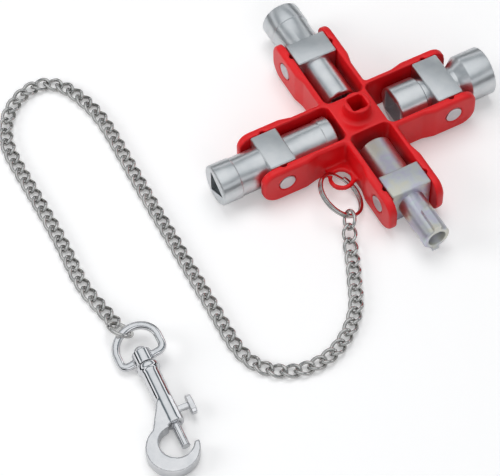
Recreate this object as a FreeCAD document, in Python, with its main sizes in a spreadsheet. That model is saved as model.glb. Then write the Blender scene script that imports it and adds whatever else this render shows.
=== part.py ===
import FreeCAD, Part
import math
import os
from FreeCAD import Placement, Rotation, Vector

# Multi utility key: a moulded cross with four forks, each fork holding a
# double-ended key that turns end for end about a rivet. A split ring, a curb
# chain and a swivel snap hook hang from a lug between two of the arms.
# The origin is under the middle of the cross, +Z is up, sizes are millimetres.

# Driving sizes of the cross
SIZES = [
    ("cross_height", 13.7),
    ("hub_half", 7.2),
    ("cheek_thin", 1.75),
    ("cheek_thick", 2.7),
    ("jog_length", 4.0),
    ("jog_distance", 7.0),
    ("fork_clearance", 0.15),
    ("tip_beyond_pin", 8.3),
    ("tip_top_round", 4.5),
    ("tip_bottom_round", 5.5),
    ("edge_round", 0.8),
    ("rim_bevel", 0.7),
    ("slot_round", 2.2),
    ("pin_height", 7.3),
    ("notch_width", 1.8),
    ("notch_depth", 0.8),
    # Middle boss with its square socket
    ("boss_radius", 4.25),
    ("boss_rise", 5.2),
    ("boss_foot", 0.8),
    ("hub_square", 5.3),
    # Reach of each arm, from the middle to its rivet
    ("reach_a", 30.0),
    ("reach_b", 30.0),
    ("reach_c", 30.0),
    ("reach_d", 29.3),
    # Key blocks
    ("block_length", 9.0),
    ("block_width", 13.8),
    ("wide_block_width", 17.2),
    ("block_height", 13.4),
    ("block_edge", 0.35),
    # Rivets
    ("rivet_radius", 2.0),
    ("head_radius", 2.75),
    ("head_thick", 1.0),
    ("head_clearance", 0.25),
    ("bore_clearance", 0.05),
    ("hole_clearance", 0.02),
    # Lug for the split ring
    ("lug_from_middle_across", 13.36),
    ("lug_from_middle_along", 14.41),
    ("lug_hole_radius", 3.0),
    ("lug_wall", 1.2),
    ("lug_bottom", 3.5),
    ("lug_thick", 1.5),
    ("lug_web", 8.3),
    # Keys: how far each end stands from its rivet, and the round bodies
    ("key_radius", 6.45),
    ("collar_radius", 6.75),
    ("collar_length", 6.6),
    ("inner_collar_length", 3.7),
    ("round_key_outer", 20.7),
    ("round_key_inner", 20.6),
    ("slim_radius", 5.4),
    ("slim_inner", 19.6),
    ("end_edge", 0.4),
    ("triangle_circle_radius", 5.3),
    ("triangle_depth", 9.0),
    ("square_small", 6.3),
    ("square_medium", 8.3),
    ("square_large", 9.3),
    ("square_depth", 9.0),
    # Wide key with a cone and a neck
    ("wide_outer", 17.9),
    ("wide_inner", 16.1),
    ("wide_radius", 8.0),
    ("wide_inner_radius", 7.3),
    ("neck_radius", 5.6),
    ("neck_length", 2.2),
    ("cone_start", 6.2),
    ("cone_end", 9.4),
    ("neck_ring_rise", 0.45),
    ("neck_ring_length", 0.9),
    # Tube key with two bits
    ("tube_outer", 20.2),
    ("tube_inner", 19.0),
    ("tube_radius", 4.5),
    ("tube_bore_radius", 3.0),
    ("tube_bore_depth", 12.0),
    ("tube_inner_radius", 5.6),
    ("bit_rise", 1.5),
    ("bit_width", 2.4),
    ("bit_length", 8.0),
    # Split ring
    ("ring_radius", 7.8),
    ("ring_wire_height", 0.78),
    ("ring_wire_width", 1.05),
    ("ring_turn_gap", 0.02),
    ("ring_crossing", 40.0),
    ("ring_crossing_at", 115.0),
    ("ring_end_gap", 4.0),
    ("ring_facet", 11.0),
    ("ring_x", -17.17),
    ("ring_y", -20.59),
    ("ring_z", 5.37),
    ("ring_tilt", 35.54),
    ("ring_heading", 341.46),
    # Chain
    ("wire_radius", 0.57),
    ("link_length", 7.0),
    ("link_width", 5.0),
    ("link_pitch", 4.25),
    ("ring_link_width", 5.5),
    ("ring_link_slack", 0.18),
    ("ring_link_shift", 0.2),
    ("link_twist", 45.0),
    ("link_lie_height", 0.66),
    ("chain_lift", 2.6),
    ("chain_lift_length", 9.0),
    ("chain_end_lift", 0.9),
    ("chain_end_lift_length", 8.0),
    # Snap hook, along its own axis from the eye to the hook
    ("hook_x", -97.7),
    ("hook_y", -44.0),
    ("hook_z", 3.25),
    ("hook_heading", -94.0),
    ("hook_pitch", 2.5),
    ("shank_radius", 2.95),
    ("shank_end", 24.3),
    ("flange_radius", 3.65),
    ("flange_start", 2.75),
    ("flange_length", 2.2),
    ("stud_radius", 1.25),
    ("stud_head_radius", 2.1),
    ("stud_head_length", 1.7),
    ("swivel_gap", 0.1),
    ("bowl_radius", 8.1),
    ("bowl_from_bar", 31.8),
    ("bowl_aside", 4.0),
    ("bight_radius", 5.2),
    ("bight_from_bar", 30.5),
    ("bight_aside", 2.35),
    ("bowl_thick", 4.6),
    ("bowl_edge", 1.35),
    ("flare_start", 15.5),
    ("tip_from_bar", 32.4),
    # Eye of the snap hook
    ("eye_half_width", 7.0),
    ("eye_straight", 2.6),
    ("eye_corner", 2.0),
    ("eye_bar_to_arc", 5.6),
    ("eye_wire_width", 2.5),
    ("eye_wire_height", 2.2),
    ("eye_boss_radius", 3.1),
    ("eye_boss_half", 2.3),
    ("swivel_rest", 17.0),
    # Sliding bolt and its spring
    ("bolt_radius", 1.4),
    ("bolt_clearance", 0.06),
    ("bolt_back", 17.4),
    ("bolt_tip_gap", 0.15),
    ("bore_back", 7.4),
    ("bolt_travel", 6.5),
    ("lever_at", 19.9),
    ("lever_stem", 1.7),
    ("lever_reach", 5.9),
    ("lever_length", 6.4),
    ("lever_width", 3.4),
    ("lever_thick", 1.7),
    ("lever_clearance", 0.3),
    ("spring_wire_radius", 0.22),
    ("spring_radius", 1.05),
    ("spring_turns", 7.0),
    ("spring_end_gap", 0.1),
    # End link on the eye
    ("end_link_radius", 3.8),
    ("end_link_wire", 0.65),
    ("end_link_x", -99.24),
    ("end_link_y", -31.0),
    ("end_link_z", 2.65),
    ("end_link_heading", -64.4),
    ("end_link_roll", -40.8),
]

# The chain's path on the ground, from the split ring to the snap hook
CHAIN_PATH = [
    (-19.9, -31.0), (-22.2, -35.6), (-24.7, -42.0), (-28.1, -49.0), (-30.9, -55.0), (-36.0, -61.3),
    (-42.4, -66.1), (-49.7, -68.7), (-57.5, -68.4), (-64.1, -65.3), (-68.6, -60.1), (-70.6, -53.0),
    (-70.6, -43.5), (-70.3, -32.5), (-69.6, -5.5), (-69.0, 16.5), (-68.2, 35.5), (-68.4, 47.5),
    (-70.5, 57.0), (-73.7, 64.0), (-78.7, 67.8), (-85.1, 67.5), (-92.3, 63.1), (-97.4, 56.3),
    (-99.7, 48.0), (-100.1, 37.5), (-100.2, 22.5), (-100.9, 2.5), (-101.6, -11.5), (-100.6, -18.5),
    (-99.6, -24.0), (-99.3, -28.2),
]
CHAIN_NODES = 8

doc = FreeCAD.newDocument("MultiUtilityKey")
sheet = doc.addObject("Spreadsheet::Sheet", "Sizes")


class Size:
    """A length that knows its value and its formula in the sheet."""

    def __init__(self, value, formula):
        self.value = value
        self.formula = formula

    def __add__(self, other):
        other = as_size(other)
        return Size(self.value + other.value, f"({self.formula} + {other.formula})")

    __radd__ = __add__

    def __sub__(self, other):
        other = as_size(other)
        return Size(self.value - other.value, f"({self.formula} - {other.formula})")

    def __rsub__(self, other):
        return as_size(other) - self

    def __mul__(self, factor):
        return Size(self.value * factor, f"({self.formula} * {factor})")

    __rmul__ = __mul__

    def __neg__(self):
        return self * -1


def as_size(number):
    """A plain number is a Size whose formula is itself."""
    return number if isinstance(number, Size) else Size(float(number), f"({float(number)})")


class Sizes:
    """Every driving size by name, as a Size."""


size = Sizes()
for row, (alias, value) in enumerate(SIZES, start=1):
    sheet.set(f"A{row}", str(value))
    sheet.setAlias(f"A{row}", alias)
    setattr(size, alias, Size(value, f"Sizes.{alias}"))
doc.recompute()

made = []


def bind(thing, path, length):
    """Tie one property of an object to the sheet."""
    thing.setExpression(path, as_size(length).formula)


def place(thing, x=0.0, y=0.0, z=0.0, axis=Vector(0, 0, 1), angle=0.0):
    """Put an object at x, y, z, turned about an axis, all tied to the sheet."""
    thing.Placement = Placement(
        Vector(as_size(x).value, as_size(y).value, as_size(z).value), Rotation(axis, as_size(angle).value)
    )
    bind(thing, "Placement.Base.x", x)
    bind(thing, "Placement.Base.y", y)
    bind(thing, "Placement.Base.z", z)


def new_body(name):
    """An empty body whose label is its node's name."""
    body = doc.addObject("PartDesign::Body", name)
    body.Label = name
    made.append(body)
    return body


def new_sketch(body, name, role, offset=None):
    """A sketch on one of the body's own planes, moved along the plane's normal."""
    sketch = body.newObject("Sketcher::SketchObject", name)
    base = [f for f in body.Origin.OriginFeatures if f.Role == role][0]
    sketch.AttachmentSupport = [(base, "")]
    sketch.MapMode = "FlatFace"
    if offset is not None:
        sketch.AttachmentOffset = Placement(Vector(0, 0, as_size(offset).value), Rotation())
        bind(sketch, "AttachmentOffset.Base.z", offset)
    return sketch


def pin_point(sketch, element, end, x, y):
    """Hold one point of a sketch at x, y from the sketch's origin."""
    for kind, length in (("DistanceX", x), ("DistanceY", y)):
        length = as_size(length)
        index = sketch.addConstraint(Sketcher_constraint(kind, -1, 1, element, end, length.value))
        sketch.setExpression(f"Constraints[{index}]", length.formula)


def Sketcher_constraint(kind, *values):
    """A sketch constraint, made by the sketcher's own module."""
    import Sketcher

    return Sketcher.Constraint(kind, *values)


def outline(sketch, corners):
    """A closed outline of straight sides through the corners."""
    flat = [Vector(as_size(x).value, as_size(y).value, 0) for x, y in corners]
    first = sketch.GeometryCount
    for a, b in zip(flat, flat[1:] + flat[:1]):
        sketch.addGeometry(Part.LineSegment(a, b), False)
    count = len(flat)
    for i in range(count):
        sketch.addConstraint(
            Sketcher_constraint("Coincident", first + i, 2, first + (i + 1) % count, 1)
        )
    for i, (x, y) in enumerate(corners):
        pin_point(sketch, first + i, 1, x, y)


def disc(sketch, x, y, radius):
    """A circle at x, y."""
    x, y, radius = as_size(x), as_size(y), as_size(radius)
    index = sketch.addGeometry(Part.Circle(Vector(x.value, y.value, 0), Vector(0, 0, 1), radius.value), False)
    pin_point(sketch, index, 3, x, y)
    constraint = sketch.addConstraint(Sketcher_constraint("Radius", index, radius.value))
    sketch.setExpression(f"Constraints[{constraint}]", radius.formula)


def add_feature(body, kind, name, sketch, length=None, middle=False, back=False, through=False):
    """A pad or pocket of a sketch."""
    feature = body.newObject(kind, name)
    feature.Profile = sketch
    if length is not None:
        feature.Length = as_size(length).value
        bind(feature, "Length", length)
    feature.Midplane = middle
    feature.Reversed = back
    if through:
        feature.Type = 1
    sketch.Visibility = False
    body.Tip = feature
    doc.recompute()
    return feature


def turned(body, kind, name, sketch, axis="V_Axis"):
    """A full turn of a sketch about one of its own axes, added or cut."""
    feature = body.newObject(kind, name)
    feature.Profile = sketch
    feature.ReferenceAxis = (sketch, [axis])
    feature.Angle = 360.0
    body.Tip = feature
    doc.recompute()
    return feature


def edges_where(shape, test):
    """Names of the edges whose middle point and shape pass a test."""
    return [f"Edge{i}" for i, edge in enumerate(shape.Edges, start=1) if test(edge)]


def rounded(body, kind, name, base, names, radius):
    """A fillet or a chamfer on named edges of the last feature."""
    feature = body.newObject(kind, name)
    feature.Base = (base, names)
    prop = "Radius" if kind.endswith("Fillet") else "Size"
    setattr(feature, prop, as_size(radius).value)
    bind(feature, prop, radius)
    body.Tip = feature
    doc.recompute()
    return feature


def middle_of(edge):
    """The point half way along an edge."""
    return edge.valueAt((edge.FirstParameter + edge.LastParameter) / 2)


# Half widths of the forks, inside and outside
slot_half = size.block_width * 0.5 + size.fork_clearance
wide_slot_half = size.wide_block_width * 0.5 + size.fork_clearance
thin_half = slot_half + size.cheek_thin
thick_half = slot_half + size.cheek_thick
wide_thin_half = wide_slot_half + size.cheek_thin
wide_thick_half = wide_slot_half + size.cheek_thick
boss_top = size.cross_height + size.boss_rise

# Each arm: its direction in quarter turns, reach, slot and cheek half widths
ARMS = {
    "d": (0, size.reach_d, wide_slot_half, wide_thin_half, wide_thick_half),
    "b": (1, size.reach_b, slot_half, thin_half, thick_half),
    "c": (2, size.reach_c, slot_half, thin_half, thick_half),
    "a": (3, size.reach_a, slot_half, thin_half, thick_half),
}


def quarter(turns, x, y):
    """A point turned by quarter turns about the middle."""
    for _ in range(turns):
        x, y = -as_size(y), as_size(x)
    return x, y


def make_cross():
    """The moulded cross: four forks, the hub with its boss, and the ring's lug."""
    body = new_body("cross_body")
    plan = new_sketch(body, "cross_plan", "XY_Plane")
    corners = []
    order = ["d", "b", "c", "a"]
    for i, arm in enumerate(order):
        turns, reach, slot, thin, thick = ARMS[arm]
        before = ARMS[order[i - 1]][3]
        after = ARMS[order[(i + 1) % 4]][3]
        jog_out = reach - size.jog_distance
        jog_in = jog_out - size.jog_length
        tip = reach + size.tip_beyond_pin
        for x, y in (
            (before, -thin), (jog_in, -thin), (jog_out, -thick), (tip, -thick),
            (tip, thick), (jog_out, thick), (jog_in, thin),
        ):
            corners.append(quarter(turns, x, y))
    outline(plan, corners)
    base = add_feature(body, "PartDesign::Pad", "cross_block", plan, size.cross_height)

    tips = {arm: ARMS[arm][1] + size.tip_beyond_pin for arm in ARMS}

    def tip_edge(edge, level):
        point = middle_of(edge)
        far = max(abs(point.x), abs(point.y))
        return abs(point.z - level) < 1e-6 and any(abs(far - t.value) < 1e-6 for t in tips.values())

    top = edges_where(base.Shape, lambda e: tip_edge(e, size.cross_height.value))
    base = rounded(body, "PartDesign::Fillet", "tip_tops", base, top, size.tip_top_round)
    low = edges_where(base.Shape, lambda e: tip_edge(e, 0.0))
    base = rounded(body, "PartDesign::Fillet", "tip_bottoms", base, low, size.tip_bottom_round)

    def corner_edge(edge):
        a, b = edge.Vertexes[0].Point, edge.Vertexes[-1].Point
        point = middle_of(edge)
        inner = max(abs(point.x), abs(point.y)) < size.reach_d.value - size.jog_distance.value + 1
        return abs(a.x - b.x) < 1e-6 and abs(a.y - b.y) < 1e-6 and inner

    base = rounded(
        body, "PartDesign::Fillet", "jog_rounds", base, edges_where(base.Shape, corner_edge), size.edge_round
    )

    def rim_edge(edge):
        point = middle_of(edge)
        level = abs(point.z) < 1e-6 or abs(point.z - size.cross_height.value) < 1e-6
        return level and edge.Length > size.edge_round.value / 4

    base = rounded(
        body, "PartDesign::Chamfer", "rim_bevel", base, edges_where(base.Shape, rim_edge), size.rim_bevel
    )

    boss = new_sketch(body, "boss_plan", "XY_Plane", size.cross_height * 0.5)
    disc(boss, 0, 0, size.boss_radius)
    base = add_feature(
        body, "PartDesign::Pad", "boss", boss, boss_top - size.cross_height * 0.5
    )

    def boss_foot(edge):
        point = middle_of(edge)
        flat = abs(point.z - size.cross_height.value) < 1e-6
        return flat and abs(math.hypot(point.x, point.y) - size.boss_radius.value) < 1e-3

    base = rounded(
        body, "PartDesign::Chamfer", "boss_foot", base, edges_where(base.Shape, boss_foot), size.boss_foot
    )

    slots = new_sketch(body, "fork_slots", "XY_Plane", size.cross_height)
    for arm, (turns, reach, slot, thin, thick) in ARMS.items():
        end = reach + size.tip_beyond_pin + 1
        outline(
            slots,
            [
                quarter(turns, x, y)
                for x, y in ((size.hub_half, -slot), (end, -slot), (end, slot), (size.hub_half, slot))
            ],
        )
    base = add_feature(body, "PartDesign::Pocket", "fork_slot_cut", slots, through=True)

    def slot_corner(edge):
        a, b = edge.Vertexes[0].Point, edge.Vertexes[-1].Point
        point = middle_of(edge)
        near = min(abs(point.x), abs(point.y))
        far = max(abs(point.x), abs(point.y))
        upright = abs(a.x - b.x) < 1e-6 and abs(a.y - b.y) < 1e-6
        hub = size.hub_half.value
        return upright and (abs(near - hub) < 0.3 or abs(far - hub) < 1e-6) and edge.Length > 5 and (
            abs(abs(point.x) - hub) < 1e-6 or abs(abs(point.y) - hub) < 1e-6
        )

    base = rounded(
        body, "PartDesign::Fillet", "slot_corners", base, edges_where(base.Shape, slot_corner), size.slot_round
    )

    notches = new_sketch(body, "pin_notches", "XY_Plane", size.cross_height)
    for arm, (turns, reach, slot, thin, thick) in ARMS.items():
        half = size.notch_width * 0.5
        wide = slot + size.notch_depth
        outline(
            notches,
            [
                quarter(turns, x, y)
                for x, y in ((reach - half, -wide), (reach + half, -wide), (reach + half, wide), (reach - half, wide))
            ],
        )
    base = add_feature(
        body, "PartDesign::Pocket", "pin_notch_cut", notches, size.cross_height - size.pin_height
    )

    for arm, (turns, reach, slot, thin, thick) in ARMS.items():
        along_x = turns % 2 == 0
        sign = 1 if turns < 2 else -1
        hole = new_sketch(body, f"rivet_hole_{arm}", "XZ_Plane" if along_x else "YZ_Plane")
        disc(hole, reach * sign, size.pin_height, size.rivet_radius + size.hole_clearance)
        base = add_feature(body, "PartDesign::Pocket", f"rivet_bore_{arm}", hole, middle=True, through=True)
        for side in (-1, 1):
            seat = new_sketch(
                body, f"head_seat_{arm}_{'low' if side < 0 else 'high'}",
                "XZ_Plane" if along_x else "YZ_Plane", thick * side,
            )
            disc(seat, reach * sign, size.pin_height, size.head_radius + size.head_clearance)
            base = add_feature(
                body, "PartDesign::Pocket", f"head_cut_{arm}_{'low' if side < 0 else 'high'}", seat,
                size.head_thick, back=side < 0,
            )

    web = new_sketch(body, "lug_web_plan", "XY_Plane", size.lug_bottom)
    lug_x = -size.lug_from_middle_across
    lug_y = -size.lug_from_middle_along
    lug_radius = size.lug_hole_radius + size.lug_wall
    inner = slot_half + size.cheek_thin * 0.5
    outline(
        web,
        [
            (-inner, -inner), (-inner - size.lug_web, -inner), (lug_x - lug_radius * 0.95, lug_y),
            (lug_x, lug_y - lug_radius * 0.95), (-inner, lug_y - lug_radius * 0.6),
        ],
    )
    add_feature(body, "PartDesign::Pad", "lug_web_plate", web, size.lug_thick)
    eye = new_sketch(body, "lug_eye_plan", "XY_Plane", size.lug_bottom)
    disc(eye, lug_x, lug_y, lug_radius)
    add_feature(body, "PartDesign::Pad", "lug_eye", eye, size.lug_thick)
    hole = new_sketch(body, "lug_hole_plan", "XY_Plane", size.lug_bottom + size.lug_thick)
    disc(hole, lug_x, lug_y, size.lug_hole_radius)
    add_feature(body, "PartDesign::Pocket", "lug_hole", hole, size.lug_thick)

    square = new_sketch(body, "hub_square_plan", "XY_Plane", boss_top)
    half = size.hub_square * 0.5
    outline(square, [(-half, -half), (half, -half), (half, half), (-half, half)])
    add_feature(body, "PartDesign::Pocket", "hub_square_cut", square, through=True)
    place(body)
    return body


def key_blank(name, width, profile):
    """A key's turned ends and its cross block, the rivet's bore at the origin.

    The outer end points along +X. The profile is a list of (distance along X,
    radius) pairs, closed along the axis and turned once round.
    """
    body = new_body(name)
    block = new_sketch(body, f"{name}_block_plan", "XY_Plane")
    half_long = size.block_length * 0.5
    half_wide = width * 0.5
    outline(
        block,
        [(-half_long, -half_wide), (half_long, -half_wide), (half_long, half_wide), (-half_long, half_wide)],
    )
    pad = add_feature(body, "PartDesign::Pad", f"{name}_block", block, size.block_height, middle=True)
    rounded(
        body, "PartDesign::Chamfer", f"{name}_block_edges", pad,
        [f"Edge{i}" for i in range(1, len(pad.Shape.Edges) + 1)], size.block_edge,
    )
    turn = new_sketch(body, f"{name}_profile", "XY_Plane")
    outline(turn, [(profile[0][0], 0)] + profile + [(profile[-1][0], 0)])
    turned(body, "PartDesign::Revolution", f"{name}_ends", turn, "H_Axis")
    bore = new_sketch(body, f"{name}_bore_plan", "XZ_Plane")
    disc(bore, 0, 0, size.rivet_radius + size.bore_clearance)
    add_feature(body, "PartDesign::Pocket", f"{name}_bore", bore, middle=True, through=True)
    return body


def square_socket(body, name, end, side, depth, outward):
    """A square socket in an end face; outward is 1 for the outer end."""
    sketch = new_sketch(body, name, "YZ_Plane", end * outward)
    half = side * 0.5
    outline(sketch, [(-half, -half), (half, -half), (half, half), (-half, half)])
    add_feature(body, "PartDesign::Pocket", f"{name}_cut", sketch, depth, back=outward < 0)


def triangle_socket(body, name, end, radius, depth, outward):
    """A three-cornered socket in an end face, one corner to the side."""
    sketch = new_sketch(body, name, "YZ_Plane", end * outward)
    corners = [
        (radius * math.cos(math.radians(a)), radius * math.sin(math.radians(a))) for a in (0, 120, 240)
    ]
    outline(sketch, corners)
    add_feature(body, "PartDesign::Pocket", f"{name}_cut", sketch, depth, back=outward < 0)


def end_profile(inner, inner_radius, outer, outer_radius):
    """A plain turned profile with small edge breaks at both ends."""
    edge = size.end_edge
    return [
        (-inner, inner_radius - edge), (-inner + edge, inner_radius), (0, inner_radius),
        (0, outer_radius), (outer - edge, outer_radius), (outer, outer_radius - edge),
    ]


def seat_key(body, arm):
    """Stand a key on its rivet's axis, its outer end away from the hub."""
    turns, reach = ARMS[arm][0], ARMS[arm][1]
    x, y = quarter(turns, reach, 0)
    place(body, x, y, size.pin_height, Vector(0, 0, 1), 90.0 * turns)


def make_triangle_key():
    """The key in arm C: collars on both ends, a three-cornered and a square socket."""
    edge = size.end_edge
    rise = size.collar_radius - size.key_radius
    outer, inner = size.round_key_outer, size.round_key_inner
    body = key_blank(
        "triangle_key", size.block_width,
        [
            (-inner, size.collar_radius - edge), (-inner + edge, size.collar_radius),
            (-inner + size.inner_collar_length, size.collar_radius),
            (-inner + size.inner_collar_length + rise, size.key_radius),
            (outer - size.collar_length - rise, size.key_radius),
            (outer - size.collar_length, size.collar_radius),
            (outer - edge, size.collar_radius), (outer, size.collar_radius - edge),
        ],
    )
    triangle_socket(body, "triangle_socket", outer, size.triangle_circle_radius, size.triangle_depth, 1)
    square_socket(body, "triangle_key_square", inner, size.square_medium, size.square_depth, -1)
    seat_key(body, "c")
    return body


def make_square_key():
    """The key in arm B: a collared outer end and a slimmer inner end."""
    edge = size.end_edge
    rise = size.collar_radius - size.key_radius
    outer, inner = size.round_key_outer, size.slim_inner
    body = key_blank(
        "square_key", size.block_width,
        [
            (-inner, size.slim_radius - edge), (-inner + edge, size.slim_radius), (0, size.slim_radius),
            (0, size.key_radius), (outer - size.collar_length - rise, size.key_radius),
            (outer - size.collar_length, size.collar_radius),
            (outer - edge, size.collar_radius), (outer, size.collar_radius - edge),
        ],
    )
    square_socket(body, "square_key_outer", outer, size.square_medium, size.square_depth, 1)
    square_socket(body, "square_key_inner", inner, size.square_small, size.square_depth, -1)
    seat_key(body, "b")
    return body


def make_wide_key():
    """The key in arm D: a wide outer end on a cone, a short inner end on a neck."""
    edge = size.end_edge
    outer, inner = size.wide_outer, size.wide_inner
    ring_at = size.block_length * 0.5 + size.neck_length * 0.5 - size.neck_ring_length * 0.5
    neck_end = size.block_length * 0.5 + size.neck_length
    body = key_blank(
        "wide_key", size.wide_block_width,
        [
            (-inner, size.wide_inner_radius - edge), (-inner + edge, size.wide_inner_radius),
            (-neck_end, size.wide_inner_radius), (-neck_end, size.neck_radius),
            (-ring_at - size.neck_ring_length, size.neck_radius),
            (-ring_at - size.neck_ring_length, size.neck_radius + size.neck_ring_rise),
            (-ring_at, size.neck_radius + size.neck_ring_rise), (-ring_at, size.neck_radius),
            (size.cone_start, size.neck_radius), (size.cone_end, size.wide_radius),
            (outer - edge, size.wide_radius), (outer, size.wide_radius - edge),
        ],
    )
    square_socket(body, "wide_key_outer", outer, size.square_large, size.square_depth, 1)
    square_socket(body, "wide_key_inner", inner, size.square_large, size.square_depth * 0.6, -1)
    seat_key(body, "d")
    return body


def make_tube_key():
    """The key in arm A: a tube with two bits, and a plain square socket inside."""
    body = key_blank(
        "tube_key", size.block_width,
        end_profile(size.tube_inner, size.tube_inner_radius, size.tube_outer, size.tube_radius),
    )
    bits = new_sketch(body, "bit_plan", "XZ_Plane")
    tall = size.tube_radius + size.bit_rise
    outline(
        bits,
        [
            (size.tube_outer - size.bit_length, -tall), (size.tube_outer, -tall),
            (size.tube_outer, tall), (size.tube_outer - size.bit_length, tall),
        ],
    )
    add_feature(body, "PartDesign::Pad", "bits", bits, size.bit_width, middle=True)
    bore = new_sketch(body, "tube_bore_plan", "YZ_Plane", size.tube_outer)
    disc(bore, 0, 0, size.tube_bore_radius)
    add_feature(body, "PartDesign::Pocket", "tube_bore", bore, size.tube_bore_depth)
    square_socket(body, "tube_key_inner", size.tube_inner, size.square_small, size.square_depth, -1)
    seat_key(body, "a")
    return body


def make_rivet(arm):
    """A rivet with a flush head in each cheek, its axis across the arm."""
    turns, reach, slot, thin, thick = ARMS[arm]
    body = new_body(f"rivet_{arm}")
    sketch = new_sketch(body, f"rivet_{arm}_profile", "XY_Plane")
    seat = thick - size.head_thick + size.hole_clearance
    outline(
        sketch,
        [
            (0, -thick), (size.head_radius, -thick), (size.head_radius, -seat), (size.rivet_radius, -seat),
            (size.rivet_radius, seat), (size.head_radius, seat), (size.head_radius, thick), (0, thick),
        ],
    )
    turned(body, "PartDesign::Revolution", f"rivet_{arm}_turn", sketch, "V_Axis")
    x, y = quarter(turns, reach, 0)
    place(body, x, y, size.pin_height, Vector(0, 0, 1), 90.0 * turns)
    return body


def add_shape(name, shape):
    """A shape of its own, for forms made by sweeping along worked-out paths."""
    feature = doc.addObject("Part::Feature", name)
    feature.Label = name
    feature.Shape = shape
    made.append(feature)
    return feature


def faceted_wire(rings, closed):
    """A solid wire of flat facets between section outlines; an open one has two end faces."""
    faces = []
    last = len(rings) if closed else len(rings) - 1
    for i in range(last):
        here, there = rings[i], rings[(i + 1) % len(rings)]
        for k in range(len(here)):
            a, b = here[k], here[(k + 1) % len(here)]
            c, d = there[(k + 1) % len(here)], there[k]
            for three in ((a, b, c), (a, c, d)):
                faces.append(Part.Face(Part.makePolygon(list(three) + [three[0]])))
    if not closed:
        for end in (rings[0], rings[-1]):
            faces.append(Part.Face(Part.makePolygon(end + [end[0]])))
    solid = Part.Solid(Part.Shell(faces))
    if solid.Volume < 0:
        solid.reverse()
    return solid


def ease(share):
    """A smooth step from 0 to 1."""
    share = min(1.0, max(0.0, share))
    return share * share * (3 - 2 * share)


def make_split_ring():
    """Two turns of a flat wire, the lower stepping up to the upper in a short crossing."""
    lift = size.ring_wire_height.value + size.ring_turn_gap.value
    radius = size.ring_radius.value
    half_wide = size.ring_wire_width.value / 2
    half_high = size.ring_wire_height.value / 2
    crossing = size.ring_crossing.value
    sweep = 720.0 - crossing - size.ring_end_gap.value
    count = 2 * int(sweep / size.ring_facet.value / 2)
    rings = []
    for i in range(count + 1):
        turned_by = sweep * i / count
        rise = lift * (ease((turned_by - 360.0 + crossing) / crossing) - 0.5)
        angle = math.radians(turned_by + size.ring_crossing_at.value)
        out = Vector(math.cos(angle), math.sin(angle), 0)
        rings.append(
            [
                out * (radius + half_wide * a) + Vector(0, 0, rise + half_high * b)
                for a, b in ((-1, -1), (1, -1), (1, 1), (-1, 1))
            ]
        )
    ring = add_shape("split_ring", faceted_wire(rings, False))
    heading = Rotation(Vector(0, 0, 1), size.ring_heading.value)
    tilt = Rotation(Vector(0, 1, 0), size.ring_tilt.value)
    ring.Placement = Placement(
        Vector(size.ring_x.value, size.ring_y.value, size.ring_z.value), heading * tilt
    )
    for path, length in (("x", size.ring_x), ("y", size.ring_y), ("z", size.ring_z)):
        bind(ring, f"Placement.Base.{path}", length)
    return ring


def link_solid(half_long, half_wide, wire, twist, stations=10, sides=5):
    """A wire link as flat facets: an oval whose two ends are twisted apart.

    A point of the centre line at angle t is (half_long cos t, half_wide sin t),
    turned about the long axis by twist times cos t.
    """
    def centre(t):
        turn = math.radians(twist) * math.cos(t)
        y = half_wide * math.sin(t)
        return Vector(half_long * math.cos(t), y * math.cos(turn), y * math.sin(turn))

    rings = []
    for i in range(stations):
        t = 2 * math.pi * (i + 0.5) / stations
        point = centre(t)
        along = (centre(t + 0.01) - centre(t - 0.01)).normalize()
        turn = math.radians(twist) * math.cos(t)
        up = Vector(0, -math.sin(turn), math.cos(turn))
        out = along.cross(up).normalize()
        up = out.cross(along).normalize()
        rings.append(
            [
                point + (out * math.cos(2 * math.pi * k / sides) + up * math.sin(2 * math.pi * k / sides)) * wire
                for k in range(sides)
            ]
        )
    return faceted_wire(rings, True)


def chain_stations():
    """Evenly spaced placements of the links; near the ring the chain comes down to the ground."""
    curve = Part.BSplineCurve()
    curve.interpolate([Vector(x, y, 0) for x, y in CHAIN_PATH])
    flat = curve.length()
    count = round(flat / size.link_pitch.value)
    reach = size.chain_lift_length.value
    end_reach = size.chain_end_lift_length.value
    points = []
    for i, point in enumerate(curve.discretize(Number=count + 1)):
        near_ring = max(0.0, 1 - flat * i / count / reach)
        near_hook = max(0.0, 1 - flat * (count - i) / count / end_reach)
        lift = size.chain_lift.value * near_ring ** 2 + size.chain_end_lift.value * near_hook ** 2
        points.append(point + Vector(0, 0, size.link_lie_height.value + lift))
    stations = []
    for a, b in zip(points, points[1:]):
        step = b - a
        heading = math.degrees(math.atan2(step.y, step.x))
        drop = math.degrees(math.atan2(-step.z, math.hypot(step.x, step.y)))
        turn = Rotation(Vector(0, 0, 1), heading) * Rotation(Vector(0, 1, 0), drop)
        stations.append(Placement((a + b) * 0.5, turn))
    return stations


def make_chain():
    """The curb links in nodes of neighbours, and the plain link round the split ring."""
    wire = size.wire_radius.value
    half_long = size.link_length.value / 2 - wire
    half_wide = size.link_width.value / 2 - wire
    stations = chain_stations()
    print("chain links", len(stations))
    model = link_solid(half_long, half_wide, wire, size.link_twist.value)
    per_node = math.ceil(len(stations) / CHAIN_NODES)
    for node in range(CHAIN_NODES):
        links = []
        for station in stations[node * per_node:(node + 1) * per_node]:
            link = model.copy()
            link.Placement = station
            links.append(link)
        add_shape(f"chain_links_{node + 1}", Part.makeCompound(links))
    ring_link = add_shape("ring_link", link_solid(half_long, size.ring_link_width.value / 2 - wire, wire, 0.0))
    behind = size.ring_link_slack.value - size.link_pitch.value
    back = Placement(Vector(behind, 0, 0), Rotation(Vector(1, 0, 0), size.link_twist.value))
    shift = size.ring_link_shift.value
    ring_link.Placement = Placement(Vector(shift, shift, shift), Rotation()).multiply(stations[0]).multiply(back)


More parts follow.
